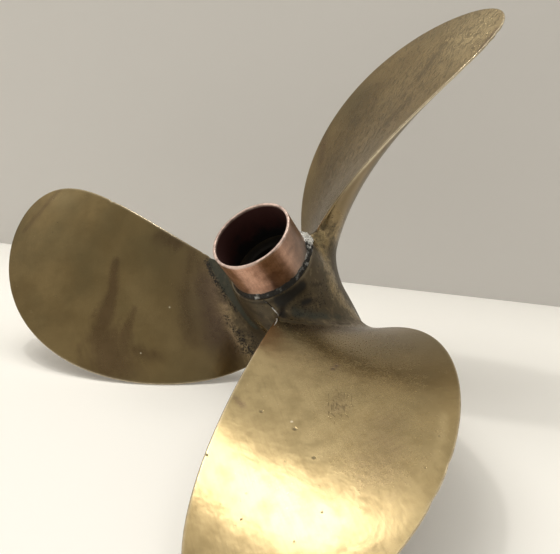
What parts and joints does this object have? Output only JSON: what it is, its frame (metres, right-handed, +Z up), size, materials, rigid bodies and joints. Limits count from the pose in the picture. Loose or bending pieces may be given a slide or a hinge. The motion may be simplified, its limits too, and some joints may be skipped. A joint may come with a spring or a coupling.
{
  "type": "boat propeller",
  "caption": "Left-handed bronze boat propeller with broad swept blades on a bored hub, and a short copper pipe coupling soldered to the hub.",
  "frame": {"origin": "centre of the bounding box in plan, on the floor that the propeller stands on", "axes": "+Z up, with the shaft axis leaning towards -Y in the YZ plane and the coupling at its upper end; -X towards the left blade"},
  "size_m": [0.2224, 0.1706, 0.1455],
  "materials": {
    "bronze": "satin, stained olive brown",
    "copper": "satin",
    "solder": "rough, dull grey with bright grains"
  },
  "bodies": {
    "root": {"hub": "bronze", "blade_left": "bronze", "blade_front": "bronze", "blade_upper": "bronze", "copper_coupling": "copper", "solder_bead": "solder"}
  },
  "joints": []
}
